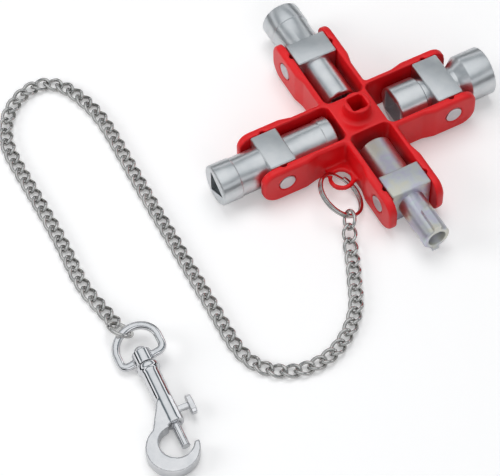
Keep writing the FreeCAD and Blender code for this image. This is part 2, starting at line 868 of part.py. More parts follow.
def make_eye_link():
    """The round link that joins the chain to the eye."""
    radius = size.end_link_radius.value
    eye_link = add_shape("eye_link", link_solid(radius, radius, size.end_link_wire.value, 0.0, 16, 6))
    eye_link.Placement = Placement(
        Vector(size.end_link_x.value, size.end_link_y.value, size.end_link_z.value),
        Rotation(Vector(0, 0, 1), size.end_link_heading.value)
        * Rotation(Vector(1, 0, 0), size.end_link_roll.value),
    )


def make_hook_body():
    """The cast hook: peened stud, flange, hollow shank and a broad bowl."""
    body = new_body("hook_body")
    turn = new_sketch(body, "shank_profile", "XY_Plane")
    head_start = -size.eye_boss_half - size.swivel_gap
    flange_end = size.flange_start + size.flange_length
    outline(
        turn,
        [
            (head_start - size.stud_head_length, 0),
            (head_start - size.stud_head_length, size.stud_head_radius * 0.6),
            (head_start - size.stud_head_length * 0.5, size.stud_head_radius),
            (head_start, size.stud_head_radius), (head_start, size.stud_radius),
            (size.eye_boss_half + size.swivel_gap, size.stud_radius),
            (size.flange_start, size.flange_radius), (flange_end - 0.6, size.flange_radius),
            (flange_end, size.shank_radius), (size.shank_end, size.shank_radius), (size.shank_end, 0),
        ],
    )
    turned(body, "PartDesign::Revolution", "shank", turn, "H_Axis")
    bowl = new_sketch(body, "bowl_plan", "XY_Plane")
    disc(bowl, size.bowl_from_bar, -size.bowl_aside, size.bowl_radius)
    add_feature(body, "PartDesign::Pad", "bowl", bowl, size.bowl_thick, middle=True)
    flare = new_sketch(body, "flare_plan", "XY_Plane")
    outline(
        flare,
        [
            (size.flare_start, -size.shank_radius * 0.8), (size.shank_end, -size.shank_radius * 0.2 - 6.7),
            (size.bowl_from_bar - size.bowl_radius * 0.38, -size.bowl_aside - size.bowl_radius * 0.92),
            (size.bowl_from_bar, -size.bowl_aside), (size.shank_end, size.shank_radius * 0.8),
            (size.flare_start, size.shank_radius * 0.8),
        ],
    )
    add_feature(body, "PartDesign::Pad", "flare", flare, size.bowl_thick, middle=True)
    bight = new_sketch(body, "bight_plan", "XY_Plane")
    disc(bight, size.bight_from_bar, -size.bight_aside, size.bight_radius)
    add_feature(body, "PartDesign::Pocket", "bight", bight, middle=True, through=True)
    gate = new_sketch(body, "gate_plan", "XY_Plane")
    outline(
        gate,
        [
            (size.shank_end, -size.bight_aside), (size.tip_from_bar, -size.bight_aside),
            (size.tip_from_bar, size.bowl_radius), (size.shank_end, size.bowl_radius),
        ],
    )
    add_feature(body, "PartDesign::Pocket", "gate", gate, middle=True, through=True)
    bore = new_sketch(body, "bolt_bore_plan", "YZ_Plane", size.shank_end)
    disc(bore, 0, 0, size.bolt_radius + size.bolt_clearance)
    add_feature(body, "PartDesign::Pocket", "bolt_bore", bore, size.shank_end - size.bore_back)
    slot = new_sketch(body, "lever_slot_plan", "XZ_Plane")
    half = size.lever_stem * 0.5 + size.lever_clearance
    front = size.lever_at + half
    back = size.lever_at - half - size.bolt_travel
    outline(slot, [(back, -half), (front, -half), (front, half), (back, half)])
    add_feature(body, "PartDesign::Pocket", "lever_slot", slot, size.bowl_radius, back=False)
    body.Placement = hook_placement(0.0)
    return body


def hook_placement(roll):
    """The snap hook's frame: along its axis, pitched to the ground, rolled."""
    heading = Rotation(Vector(0, 0, 1), size.hook_heading.value)
    pitch = Rotation(Vector(0, 1, 0), size.hook_pitch.value)
    spin = Rotation(Vector(1, 0, 0), roll)
    return Placement(Vector(size.hook_x.value, size.hook_y.value, size.hook_z.value), heading * pitch * spin)


def make_bolt():
    """The sliding bolt with its thumb lever."""
    body = new_body("trigger_bolt")
    rod = new_sketch(body, "bolt_plan", "YZ_Plane", size.bolt_back)
    disc(rod, 0, 0, size.bolt_radius)
    add_feature(body, "PartDesign::Pad", "bolt", rod, size.tip_from_bar - size.bolt_tip_gap - size.bolt_back)
    stem = new_sketch(body, "stem_plan", "XZ_Plane")
    half = size.lever_stem * 0.5
    outline(
        stem,
        [
            (size.lever_at - half, -half), (size.lever_at + half, -half),
            (size.lever_at + half, half), (size.lever_at - half, half),
        ],
    )
    add_feature(body, "PartDesign::Pad", "stem", stem, size.lever_reach, back=True)
    pad_plan = new_sketch(body, "thumb_plan", "XZ_Plane", -size.lever_reach)
    half_long = size.lever_length * 0.5
    half_wide = size.lever_width * 0.5
    bevel = size.lever_width * 0.3
    outline(
        pad_plan,
        [
            (size.lever_at - half_long, -half_wide + bevel), (size.lever_at - half_long + bevel, -half_wide),
            (size.lever_at + half_long - bevel, -half_wide), (size.lever_at + half_long, -half_wide + bevel),
            (size.lever_at + half_long, half_wide - bevel), (size.lever_at + half_long - bevel, half_wide),
            (size.lever_at - half_long + bevel, half_wide), (size.lever_at - half_long, half_wide - bevel),
        ],
    )
    add_feature(body, "PartDesign::Pad", "thumb_pad", pad_plan, size.lever_thick, back=True)
    body.Placement = hook_placement(0.0)
    return body


def make_eye():
    """The D-shaped eye that turns on the hook's stud."""
    half = size.eye_half_width.value
    corner = size.eye_corner.value
    arc_x = -size.eye_straight.value - corner
    top_x = arc_x - half
    s = math.sqrt(0.5)
    points = {
        "bar_low": Vector(0, -half + corner, 0), "bar_high": Vector(0, half - corner, 0),
        "side_high": Vector(-corner, half, 0), "arc_high": Vector(arc_x, half, 0),
        "top": Vector(top_x, 0, 0), "arc_low": Vector(arc_x, -half, 0), "side_low": Vector(-corner, -half, 0),
    }
    spine = Part.Wire(
        [
            Part.makeLine(points["bar_low"], points["bar_high"]),
            Part.Arc(
                points["bar_high"], Vector(-corner + corner * s, half - corner + corner * s, 0), points["side_high"]
            ).toShape(),
            Part.makeLine(points["side_high"], points["arc_high"]),
            Part.Arc(points["arc_high"], points["top"], points["arc_low"]).toShape(),
            Part.makeLine(points["arc_low"], points["side_low"]),
            Part.Arc(
                points["side_low"], Vector(-corner + corner * s, -half + corner - corner * s, 0), points["bar_low"]
            ).toShape(),
        ]
    )
    half_wide = size.eye_wire_width.value / 2
    half_high = size.eye_wire_height.value / 2
    cut = 0.55
    section = Part.makePolygon(
        [
            Vector(half_wide * a, points["bar_low"].y, half_high * b)
            for a, b in (
                (-1, -1 + cut), (-1 + cut, -1), (1 - cut, -1), (1, -1 + cut), (1, 1 - cut),
                (1 - cut, 1), (-1 + cut, 1), (-1, 1 - cut), (-1, -1 + cut),
            )
        ]
    )
    band = spine.makePipeShell([section], True, True)
    boss_half = size.eye_boss_half.value
    boss = Part.makeCylinder(size.eye_boss_radius.value, 2 * boss_half, Vector(-boss_half, 0, 0), Vector(1, 0, 0))
    bore_radius = size.stud_radius.value + size.swivel_gap.value
    bore = Part.makeCylinder(bore_radius, 4 * boss_half, Vector(-2 * boss_half, 0, 0), Vector(1, 0, 0))
    eye = add_shape("swivel_eye", band.fuse(boss).cut(bore))
    eye.Placement = hook_placement(size.swivel_rest.value)
    return eye


def make_spring():
    """The bolt's spring in the bottom of the bore."""
    wire = size.spring_wire_radius.value
    back = size.bore_back.value + size.spring_end_gap.value + wire
    front = size.bolt_back.value - size.spring_end_gap.value - wire
    per_turn = 10
    count = int(size.spring_turns.value * per_turn)
    rings = []
    for i in range(count + 1):
        angle = 2 * math.pi * i / per_turn
        out = Vector(0, math.cos(angle), math.sin(angle))
        middle = out * size.spring_radius.value + Vector(back + (front - back) * i / count, 0, 0)
        rings.append(
            [middle + out * (wire * a) + Vector(wire * b, 0, 0) for a, b in ((-1, 0), (0, -1), (1, 0), (0, 1))]
        )
    spring = add_shape("bolt_spring", faceted_wire(rings, False))
    spring.Placement = hook_placement(0.0)


make_cross()
make_triangle_key()
make_square_key()
make_wide_key()
make_tube_key()
for arm in ARMS:
    make_rivet(arm)
make_split_ring()
make_chain()
make_eye_link()
make_eye()
make_hook_body()
make_bolt()
make_spring()
doc.recompute()

for thing in doc.Objects:
    if "Invalid" in thing.State or "Error" in thing.State:
        raise RuntimeError(f"{thing.Name} failed: {thing.State}")
for thing in made:
    if thing.Shape.isNull() or not thing.Shape.isValid():
        raise RuntimeError(f"{thing.Label} has no sound shape")

os.makedirs("parts", exist_ok=True)
for thing in made:
    thing.Shape.exportStep(f"parts/{thing.Label}.step")
    box = thing.Shape.BoundBox
    print(
        thing.Label, len(thing.Shape.Solids), round(thing.Shape.Volume, 1),
        [round(v, 1) for v in (box.XMin, box.YMin, box.ZMin, box.XMax, box.YMax, box.ZMax)],
    )
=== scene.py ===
# %% [markdown]
# # A pocket cross key with its ring, chain and snap hook
#
# The object is a red moulded cross. Each of its four forks holds a steel key that turns
# end for end on a rivet. A split ring hangs from a small lug, and a curb chain runs from
# it to a swivel snap hook. The frame brings the exact construction. This script gives
# each piece its surface: smooth drawn wire, relaxed castings and moulding, eased steel.

import math

import bmesh
import bpy
import numpy as np
from mathutils import Matrix, Vector


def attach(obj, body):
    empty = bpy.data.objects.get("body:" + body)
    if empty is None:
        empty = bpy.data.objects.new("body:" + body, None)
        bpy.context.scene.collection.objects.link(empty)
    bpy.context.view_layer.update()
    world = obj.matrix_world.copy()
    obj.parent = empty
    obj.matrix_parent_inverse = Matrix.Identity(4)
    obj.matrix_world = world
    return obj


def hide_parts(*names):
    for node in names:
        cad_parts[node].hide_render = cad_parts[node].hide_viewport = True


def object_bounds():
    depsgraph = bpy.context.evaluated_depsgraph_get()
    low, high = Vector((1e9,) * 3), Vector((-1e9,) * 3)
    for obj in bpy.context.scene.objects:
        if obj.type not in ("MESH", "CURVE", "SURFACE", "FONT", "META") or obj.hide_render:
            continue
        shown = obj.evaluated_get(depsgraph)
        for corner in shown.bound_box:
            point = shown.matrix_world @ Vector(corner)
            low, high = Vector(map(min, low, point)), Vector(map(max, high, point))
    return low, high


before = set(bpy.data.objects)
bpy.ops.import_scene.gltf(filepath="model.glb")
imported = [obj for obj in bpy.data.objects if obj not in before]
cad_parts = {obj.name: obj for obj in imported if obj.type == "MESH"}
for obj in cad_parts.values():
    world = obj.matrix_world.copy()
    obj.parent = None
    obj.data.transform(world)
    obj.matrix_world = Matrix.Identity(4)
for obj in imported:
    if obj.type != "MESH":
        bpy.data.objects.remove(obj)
MM = 0.001


def plain(bounds):
    """A box as plain lists of numbers."""
    return [[float(v) for v in corner] for corner in bounds]


cad_box = plain(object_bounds())
print("frame box in mm", [[round(v / MM, 1) for v in corner] for corner in cad_box])

# %% [markdown]
# ## Shader maths
#
# A finish is a small graph of nodes. It could be wired up one link at a time, but an
# expression is easier to read: a wrapped socket adds a Math node whenever it is added
# or multiplied. The same class also builds the room, which is a graph of its own.


# %% A wrapped socket and one way to add any node
class Value:
    """A socket that takes part in Python expressions by adding Math nodes."""

    def __init__(self, graph, socket):
        self.graph = graph
        self.socket = socket

    def maths(self, operation, a, b):
        """One Math node of two inputs."""
        return self.graph.node("ShaderNodeMath", {"operation": operation}, {0: a, 1: b})

    def __add__(self, other):
        return self.maths("ADD", self, other)

    def __radd__(self, other):
        return self.maths("ADD", other, self)

    def __mul__(self, other):
        return self.maths("MULTIPLY", self, other)

    def __rmul__(self, other):
        return self.maths("MULTIPLY", other, self)


class Graph:
    """A tree of nodes that is filled in by expressions."""

    def __init__(self, tree):
        self.tree = tree

    def set_input(self, socket, value):
        """Link a wrapped socket, or write a plain number or colour."""
        if isinstance(value, Value):
            self.tree.links.new(value.socket, socket)
        else:
            socket.default_value = value

    def node(self, kind, settings=None, inputs=None, output=0):
        """Any node: settings first, then its inputs, and one output wrapped."""
        node = self.tree.nodes.new(kind)
        for key, value in (settings or {}).items():
            if key == "stops":
                fill_ramp(node.color_ramp, value)
            else:
                setattr(node, key, value)
        for key, value in (inputs or {}).items():
            self.set_input(node.inputs[key], value)
        return Value(self, node.outputs[output])

    def place(self, scale=(1, 1, 1)):
        """Object coordinates stretched by three factors."""
        coords = self.node("ShaderNodeTexCoord", output="Object")
        return self.node("ShaderNodeMapping", None, {"Vector": coords, "Scale": scale})

    def noise(self, where, scale, detail=3.0, roughness=0.5):
        """Smooth noise between 0 and 1."""
        inputs = {"Vector": where, "Scale": scale, "Detail": detail, "Roughness": roughness}
        return self.node("ShaderNodeTexNoise", None, inputs)

    def ramp(self, value, stops):
        """A colour ramp over a value."""
        return self.node("ShaderNodeValToRGB", {"stops": stops}, {"Fac": value})

    def bump(self, height, strength, depth):
        """A bump of a depth in metres."""
        inputs = {"Height": height, "Strength": strength, "Distance": depth}
        return self.node("ShaderNodeBump", None, inputs)


class Finish(Graph):
    """A new material with one Principled shader."""

    def __init__(self, name):
        self.material = bpy.data.materials.new(name)
        self.material.use_nodes = True
        super().__init__(self.material.node_tree)
        self.shader = self.tree.nodes["Principled BSDF"]

    def surface(self, **inputs):
        """Fill the shader's own sockets by their names, spaces written as underscores."""
        for key, value in inputs.items():
            self.set_input(self.shader.inputs[key.replace("_", " ")], value)


def fill_ramp(ramp, stops):
    """Write the stops of a colour ramp: (place, colour) pairs."""
    while len(ramp.elements) > 1:
        ramp.elements.remove(ramp.elements[-1])
    ramp.elements[0].position, ramp.elements[0].color = stops[0][0], (*stops[0][1], 1)
    for place, colour in stops[1:]:
        ramp.elements.new(place).color = (*colour, 1)


CLOUD_LOW = 0.3
CLOUD_HIGH = 0.7


def two_tones(dark, light):
    """Stops that run from a dark tone to a light one over the middle of a noise."""
    return [(CLOUD_LOW, dark), (CLOUD_HIGH, light)]


print("shader helpers ready")

# %% [markdown]
# ## Glossy red plastic
#
# The cross is moulded in one shot, so its colour is almost even and its surface copies
# a polished mould. A flat colour would look painted on. A slow drift of the red and a
# grain finer than a tenth of a millimetre break the reflections up a little, and a thin
# clear coat gives the soft second shine of moulded plastic.

# %% Mix the red
RED_DARK = (0.68, 0.004, 0.008)
RED_BRIGHT = (0.80, 0.008, 0.012)
RED_DRIFT_SCALE = 60.0
RED_GRAIN_SCALE = 2600.0
DRIFT_IN_BUMP = 3.0
RED_BUMP_DEPTH = 0.02 * MM


def moulded_red(name):
    """Red plastic: a slow colour drift, and a fine grain in the bump."""
    finish = Finish(name)
    where = finish.place()
    drift = finish.noise(where, RED_DRIFT_SCALE)
    grain = finish.noise(where, RED_GRAIN_SCALE, 2.0)
    finish.surface(
        Base_Color=finish.ramp(drift, two_tones(RED_DARK, RED_BRIGHT)),
        Roughness=0.30 + 0.10 * drift,
        IOR=1.46,
        Coat_Weight=0.12,
        Coat_Roughness=0.10,
        Normal=finish.bump(grain + DRIFT_IN_BUMP * drift, 0.10, RED_BUMP_DEPTH),
    )
    return finish.material


red_plastic = moulded_red("moulded_red_plastic")
print("made", red_plastic.name)

# %% [markdown]
# ## Turned and plated steel
#
# The keys are turned on a lathe and plated. A lathe leaves fine rings round its axis.
# Drawn rings would repeat too evenly, so the marks are noise that is squeezed along the
# turning axis: it changes quickly along the key and slowly round it. Wider clouds of
# roughness are the haze that handling leaves on satin plate.

# %% Mix the plated steel
TURNING_ALONG = 5200.0
TURNING_ROUND = 60.0
PLATE_CLOUD_SCALE = 260.0
MARKS_SHARE = 0.6
CLOUDS_SHARE = 0.4
TURNING_BUMP_DEPTH = 0.02 * MM


def turned_steel(name, axis, light, dark, smooth, rough):
    """Plated steel: roughness between two values, as the marks and clouds say."""
    finish = Finish(name)
    squeeze = [TURNING_ROUND] * 3
    squeeze[axis] = TURNING_ALONG
    marks = finish.noise(finish.place(tuple(squeeze)), 1.0, 4.0, 0.6)
    clouds = finish.noise(finish.place(), PLATE_CLOUD_SCALE)
    finish.surface(
        Base_Color=finish.ramp(clouds, two_tones(dark, light)),
        Metallic=1.0,
        Roughness=smooth + (rough - smooth) * (marks * MARKS_SHARE + clouds * CLOUDS_SHARE),
        Normal=finish.bump(marks, 0.16, TURNING_BUMP_DEPTH),
    )
    return finish.material


NICKEL = ((0.80, 0.82, 0.83), (0.70, 0.73, 0.75), 0.24, 0.42)
RIVET = ((0.74, 0.75, 0.77), (0.62, 0.64, 0.66), 0.30, 0.46)
nickel_along_x = turned_steel("satin_nickel_x", 0, *NICKEL)
nickel_along_y = turned_steel("satin_nickel_y", 1, *NICKEL)
rivet_steel = turned_steel("rivet_steel", 2, *RIVET)
print("made", nickel_along_x.name, nickel_along_y.name, rivet_steel.name)

# %% [markdown]
# ## Passivated zinc
#
# The tube key is duller than its neighbours and has a faint play of straw, green and
# violet. On the real piece a film a few light waves thick does this. Working the film
# out from the viewing angle would be lost in an exported model, so four close tints
# follow a slow noise instead, over a sandy grain.

# %% Mix the zinc
FILM_SCALE = 170.0
SAND_SCALE = 1500.0
SAND_BUMP_DEPTH = 0.04 * MM
FILM_TINTS = [
    (0.34, (0.76, 0.75, 0.66)),
    (0.46, (0.72, 0.74, 0.76)),
    (0.56, (0.68, 0.66, 0.78)),
    (0.68, (0.68, 0.75, 0.77)),
]


def passivated_zinc(name):
    """Zinc under a thin film whose tint drifts, with a sandy grain."""
    finish = Finish(name)
    where = finish.place()
    film = finish.noise(where, FILM_SCALE, 2.0)
    grain = finish.noise(where, SAND_SCALE, 3.0)
    finish.surface(
        Base_Color=finish.ramp(film, FILM_TINTS),
        Metallic=1.0,
        Roughness=0.28 + 0.26 * grain,
        Normal=finish.bump(grain, 0.35, SAND_BUMP_DEPTH),
    )
    return finish.material


zinc = passivated_zinc("passivated_zinc")
print("made", zinc.name)

# %% [markdown]
# ## Polished plate
#
# The chain, the ring and the hook are tumbled and plated. Each reflects its room almost
# like a mirror, with a little haze and shallow dents. One recipe serves all of them, with
# its own tone, haze and scale for wire, for castings and for the hidden spring.

# %% Mix the polished metals
PITS_FINER = 9
PITS_SHARE = 0.3
DENT_DEPTH = 0.06 * MM


def polished_metal(name, light, dark, smooth, haze, scale):
    """Polished plate: clouds in the tone and roughness, dents and small pits in the bump."""
    finish = Finish(name)
    where = finish.place()
    clouds = finish.noise(where, scale, 3.0)
    pits = finish.noise(where, scale * PITS_FINER, 2.0)
    finish.surface(
        Base_Color=finish.ramp(clouds, two_tones(dark, light)),
        Metallic=1.0,
        Roughness=smooth + haze * clouds,
        Normal=finish.bump(clouds + PITS_SHARE * pits, 0.12, DENT_DEPTH),
    )
    return finish.material


WIRE = ((0.72, 0.71, 0.69), (0.50, 0.50, 0.49), 0.07, 0.10, 420.0)
CASTING = ((0.86, 0.86, 0.87), (0.74, 0.75, 0.77), 0.05, 0.10, 230.0)
COIL = ((0.50, 0.50, 0.51), (0.34, 0.34, 0.35), 0.22, 0.12, 800.0)
nickel_wire = polished_metal("nickel_wire", *WIRE)
chrome_cast = polished_metal("polished_chrome", *CASTING)
spring_steel = polished_metal("spring_steel", *COIL)
print("made", nickel_wire.name, chrome_cast.name, spring_steel.name)

# %% [markdown]
# ## A drawn wire link
#
# A curb chain is made of round wire bent to ovals and then twisted, so that it lies
# flat. A curve with a bevel could make one link, but a surface of two parameters is
# shorter and exact: one angle goes round the oval and the other round the wire.

# %% The wire surface and its faces
LINK_HALF_LONG = 2.93 * MM
LINK_HALF_WIDE = 1.93 * MM
LINK_WIRE = 0.57 * MM
LINK_TWIST = math.radians(45)


def unit(vectors):
    """Vectors brought to length one."""
    return vectors / np.linalg.norm(vectors, axis=1, keepdims=True)


def drawn_wire(half_long, half_wide, wire, twist, around=36, section=12):
    """Grid of points on a closed wire link.

    The centre line at angle t is half_long cos t along and half_wide sin t across, turned
    about the long axis by twist times cos t. Round it goes a circle of the wire's radius.
    """
    t = np.linspace(0, 2 * np.pi, around, endpoint=False)
    turn = twist * np.cos(t)
    across = half_wide * np.sin(t)
    centre = np.stack(
        [half_long * np.cos(t), across * np.cos(turn), across * np.sin(turn)], 1
    )
    ahead = unit(np.roll(centre, -1, 0) - np.roll(centre, 1, 0))
    up = np.stack([np.zeros_like(t), -np.sin(turn), np.cos(turn)], 1)
    out = unit(np.cross(ahead, up))
    up = np.cross(out, ahead)
    s = np.linspace(0, 2 * np.pi, section, endpoint=False)[None, :, None]
    ring = np.cos(s) * out[:, None, :] + np.sin(s) * up[:, None, :]
    return centre[:, None, :] + wire * ring


def grid_faces(rows, columns, closed_rows=True):
    """Quads of a grid that closes across its columns, and along its rows if asked."""
    last = rows if closed_rows else rows - 1
    r, c = np.meshgrid(np.arange(last), np.arange(columns), indexing="ij")
    r2, c2 = (r + 1) % rows, (c + 1) % columns
    quads = [r * columns + c, r2 * columns + c, r2 * columns + c2, r * columns + c2]
    return np.stack(quads, -1).reshape(-1, 4)


link = drawn_wire(LINK_HALF_LONG, LINK_HALF_WIDE, LINK_WIRE, LINK_TWIST)
link_faces = grid_faces(*link.shape[:2])
print("one link has", len(link_faces), "faces")

# %% [markdown]
# ## Seat each new piece
#
# A new piece rides on the body that carries the node it stands for, so it follows every
# joint. Its faces are turned outward first. The place of a link could be repeated here
# by hand, but the frame already holds it: the middle and the three main directions of a
# node's corner points say where each link lies and how it is turned.


# %% Dress a piece and read where the frame's links lie
def dress(piece, material, body, replaced):
    """Link a piece, turn its faces outward, give it its finish and body, and hide the frame
    node it replaces.
    """
    bpy.context.scene.collection.objects.link(piece)
    mesh = piece.data
    work = bmesh.new()
    work.from_mesh(mesh)
    bmesh.ops.recalc_face_normals(work, faces=work.faces)
    work.to_mesh(mesh)
    work.free()
    mesh.shade_smooth()
    mesh.materials.clear()
    mesh.materials.append(material)
    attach(piece, body)
    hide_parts(replaced)


def wire_piece(name, points, faces, body, replaced):
    """A smooth nickel piece from arrays, in place of a frame node."""
    mesh = bpy.data.meshes.new(name)
    mesh.from_pydata(points.reshape(-1, 3).tolist(), [], [list(f) for f in faces])
    piece = bpy.data.objects.new(name, mesh)
    dress(piece, nickel_wire, body, replaced)


def corners(node):
    """The corner points of a frame node's triangles, as an array."""
    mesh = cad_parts[node].data
    flat = np.zeros(len(mesh.vertices) * 3, np.float64)
    mesh.vertices.foreach_get("co", flat)
    index = np.zeros(len(mesh.loops), np.int64)
    mesh.loops.foreach_get("vertex_index", index)
    return flat.reshape(-1, 3)[index]


def link_places(node, count):
    """Middle and main directions of each of a node's links, in equal shares of corners."""
    places = []
    for share in corners(node).reshape(count, -1, 3):
        middle = share.mean(0)
        spread = (share - middle).T @ (share - middle)
        directions = np.linalg.eigh(spread)[1][:, ::-1].T
        directions[2] = np.cross(directions[0], directions[1])
        places.append((middle, directions))
    return places


print("the ring link's middle in mm", np.round(link_places("ring_link", 1)[0][0] / MM, 1))

# %% [markdown]
# ## The chain
#
# The chain moves as eight stiff lengths with a hinge between neighbours. Each length is
# one piece here, so that it rides on its own body, and holds ten links, or four in the
# last. The frame's links are coarse, and each gets the same smooth surface laid over it.

# %% Put a smooth link over each link of the chain
CORNERS_PER_LINK = 300
POINTS_PER_LINK = link.shape[0] * link.shape[1]

for length in range(1, 9):
    node = f"chain_links_{length}"
    count = len(corners(node)) // CORNERS_PER_LINK
    places = link_places(node, count)
    points = np.stack([middle + link @ directions for middle, directions in places])
    faces = np.concatenate([link_faces + i * POINTS_PER_LINK for i in range(count)])
    wire_piece(f"curb_{node}", points, faces, f"chain_{length}", node)
    print(node, count, "links")

# %% [markdown]
# ## The two end links
#
# An untwisted link joins the chain to the split ring, and a round one joins it to the
# hook's eye. Both are the same wire surface without a twist, with more points because
# they are larger and each is seen alone.

# %% The plain link at the ring and the round link at the eye
END_AROUND = 64
END_SECTION = 16
END_LINKS = (
    ("plain_ring_link", "ring_link", "chain_1", (2.93 * MM, 2.18 * MM, 0.57 * MM)),
    ("round_eye_link", "eye_link", "eye_link", (3.8 * MM, 3.8 * MM, 0.65 * MM)),
)
end_faces = grid_faces(END_AROUND, END_SECTION)
for name, node, body, size in END_LINKS:
    surface = drawn_wire(*size, 0.0, END_AROUND, END_SECTION)
    middle, directions = link_places(node, 1)[0]
    wire_piece(name, middle + surface @ directions, end_faces, body, node)
    print(name, len(end_faces), "faces")

# %% [markdown]
# ## Split ring
#
# A split ring is flat wire wound twice. Both turns lie face to face, and at one place
# the wire steps across from the lower turn to the upper. The section is a rectangle with
# rounded corners, carried along that path and drawn in a little at the two cut ends.

# %% Wind the ring
RING_CENTRE = np.array([-17.17, -20.59, 5.37]) * MM
RING_TILT = math.radians(35.54)
RING_HEADING = math.radians(341.46)
RING_RADIUS = 7.8 * MM
RING_HALF_WIDE = 0.525 * MM
RING_HALF_HIGH = 0.39 * MM
RING_LIFT = 0.80 * MM
CROSSING_TURN = 40
END_GAP_TURN = 4
RING_CROSSING = math.radians(CROSSING_TURN)
RING_CROSSING_AT = math.radians(115)
RING_SWEEP = math.radians(720 - CROSSING_TURN - END_GAP_TURN)
CORNER_POWER = 0.45
CUT_END_SHARE = 0.55
RING_STATIONS = 260
RING_SECTION = 16


def squared(wave):
    """A sine or cosine pushed toward a square wave, which squares a circle's sides."""
    return np.sign(wave) * np.abs(wave) ** CORNER_POWER


def wound_ring():
    """Points of the ring: two turns of a circle with a smooth step up between them.

    At sweep t the section lies at the ring's radius. Its height goes from minus to plus
    half the lift by the curve 3u^2 - 2u^3, where u runs over the crossing.
    """
    t = np.linspace(0, RING_SWEEP, RING_STATIONS)
    share = np.clip((t - 2 * np.pi + RING_CROSSING) / RING_CROSSING, 0, 1)
    rise = RING_LIFT * (share * share * (3 - 2 * share) - 0.5)
    s = np.linspace(0, 2 * np.pi, RING_SECTION, endpoint=False) + np.pi / RING_SECTION
    taper = np.ones((RING_STATIONS, 1))
    taper[[0, -1]] = CUT_END_SHARE
    radius = RING_RADIUS + RING_HALF_WIDE * squared(np.cos(s)) * taper
    height = rise[:, None] + RING_HALF_HIGH * squared(np.sin(s)) * taper
    angle = (t + RING_CROSSING_AT)[:, None]
    points = np.stack([radius * np.cos(angle), radius * np.sin(angle), height], -1)
    turn = Matrix.Rotation(RING_HEADING, 3, "Z") @ Matrix.Rotation(RING_TILT, 3, "Y")
    return RING_CENTRE + points @ np.array(turn).T


ring = wound_ring()
ring_faces = [list(f) for f in grid_faces(RING_STATIONS, RING_SECTION, closed_rows=False)]
first_end = list(range(RING_SECTION))
last_end = [(RING_STATIONS - 1) * RING_SECTION + i for i in first_end]
ring_faces += [first_end, last_end]
wire_piece("wound_split_ring", ring, ring_faces, "split_ring", "split_ring")
print("split ring wound from", RING_STATIONS, "sections")

# %% [markdown]
# ## Castings and the moulded cross
#
# The hook, its eye and its thumb bolt are cast and tumbled, and the cross comes from a
# mould, so no edge on them is sharp. A bevel would need clean edges, which a solid of
# many cuts doesn't have. Instead a copy of the frame's solid is rebuilt in small even
# cells and then relaxed. That rounds the edges and keeps the broad form.


# %% Copy a solid, and relax the copy
WELD = 0.001 * MM
RELAX_SHARE = 0.5


def welded_copy(name, node):
    """A new mesh with the frame node's triangles joined at their corners."""
    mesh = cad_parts[node].data.copy()
    mesh.name = name
    work = bmesh.new()
    work.from_mesh(mesh)
    bmesh.ops.remove_doubles(work, verts=work.verts, dist=WELD)
    work.to_mesh(mesh)
    work.free()
    return mesh


def apply_modifiers(piece):
    """Bake a piece's modifiers into its mesh, on the scene for as long as that takes."""
    bpy.context.scene.collection.objects.link(piece)
    graph = bpy.context.evaluated_depsgraph_get()
    mesh = bpy.data.meshes.new_from_object(piece.evaluated_get(graph))
    piece.modifiers.clear()
    piece.data = mesh
    bpy.context.scene.collection.objects.unlink(piece)


def cast_copy(name, node, body, material, slot, cell, relax):
    """A cast piece: the solid in cells of a size in mm, relaxed a number of times."""
    piece = bpy.data.objects.new(name, welded_copy(name, node))
    remesh = piece.modifiers.new("cells", "REMESH")
    remesh.mode = "VOXEL"
    remesh.voxel_size = cell * MM
    smooth = piece.modifiers.new("relax", "SMOOTH")
    smooth.factor = RELAX_SHARE
    smooth.iterations = relax
    apply_modifiers(piece)
    dress(piece, material, body, node)
    print(name, len(piece.data.polygons), "faces")


CHROME = (chrome_cast, "polished_chrome")
cast_copy("cast_hook", "hook_body", "snap_hook", *CHROME, cell=0.2, relax=26)
cast_copy("cast_eye", "swivel_eye", "swivel_eye", *CHROME, cell=0.2, relax=5)
cast_copy("cast_thumb_bolt", "trigger_bolt", "trigger_bolt", *CHROME, cell=0.16, relax=4)
RED = (red_plastic, "red_plastic")
cast_copy("moulded_cross", "cross_body", "cross", *RED, cell=0.4, relax=3)

# %% [markdown]
# ## Keys and rivets
#
# A machined part keeps its flats crisp and catches a thin line of light along each edge.
# Cells would soften those flats, so the keys and rivet heads are done another way: the
# triangles of each flat are merged back to whole faces, and then a narrow round bevel
# runs along every edge that turns by more than a few tens of degrees.

# %% Bevel a copy of a solid
EDGE_TURN = math.radians(28)
FLAT_TURN = math.radians(1.0)
CRISP_TURN = math.radians(20)
BEVEL_STEPS = 2


def eased_copy(name, node, body, material, width):
    """A piece with whole faces and narrow round bevels of a width in mm."""
    mesh = welded_copy(name, node)
    work = bmesh.new()
    work.from_mesh(mesh)
    bmesh.ops.dissolve_limit(work, angle_limit=FLAT_TURN, verts=work.verts, edges=work.edges)
    work.to_mesh(mesh)
    work.free()
    piece = bpy.data.objects.new(name, mesh)
    bevel = piece.modifiers.new("edges", "BEVEL")
    bevel.limit_method = "ANGLE"
    bevel.angle_limit = EDGE_TURN
    bevel.width = width * MM
    bevel.segments = BEVEL_STEPS
    apply_modifiers(piece)
    dress(piece, material, body, node)
    piece.data.set_sharp_from_angle(angle=CRISP_TURN)
    print(name, len(piece.data.polygons), "faces")


for arm in "abcd":
    eased_copy(f"rivet_head_{arm}", f"rivet_{arm}", "cross", rivet_steel, 0.22)
for name, key, finish, slot, width in (
    ("turned_triangle_key", "triangle_key", nickel_along_x, "satin_nickel", 0.12),
    ("turned_wide_key", "wide_key", nickel_along_x, "satin_nickel", 0.14),
    ("turned_square_key", "square_key", nickel_along_y, "satin_nickel", 0.12),
    ("cast_tube_key", "tube_key", zinc, "passivated_zinc", 0.12),
):
    eased_copy(name, key, key, finish, width)

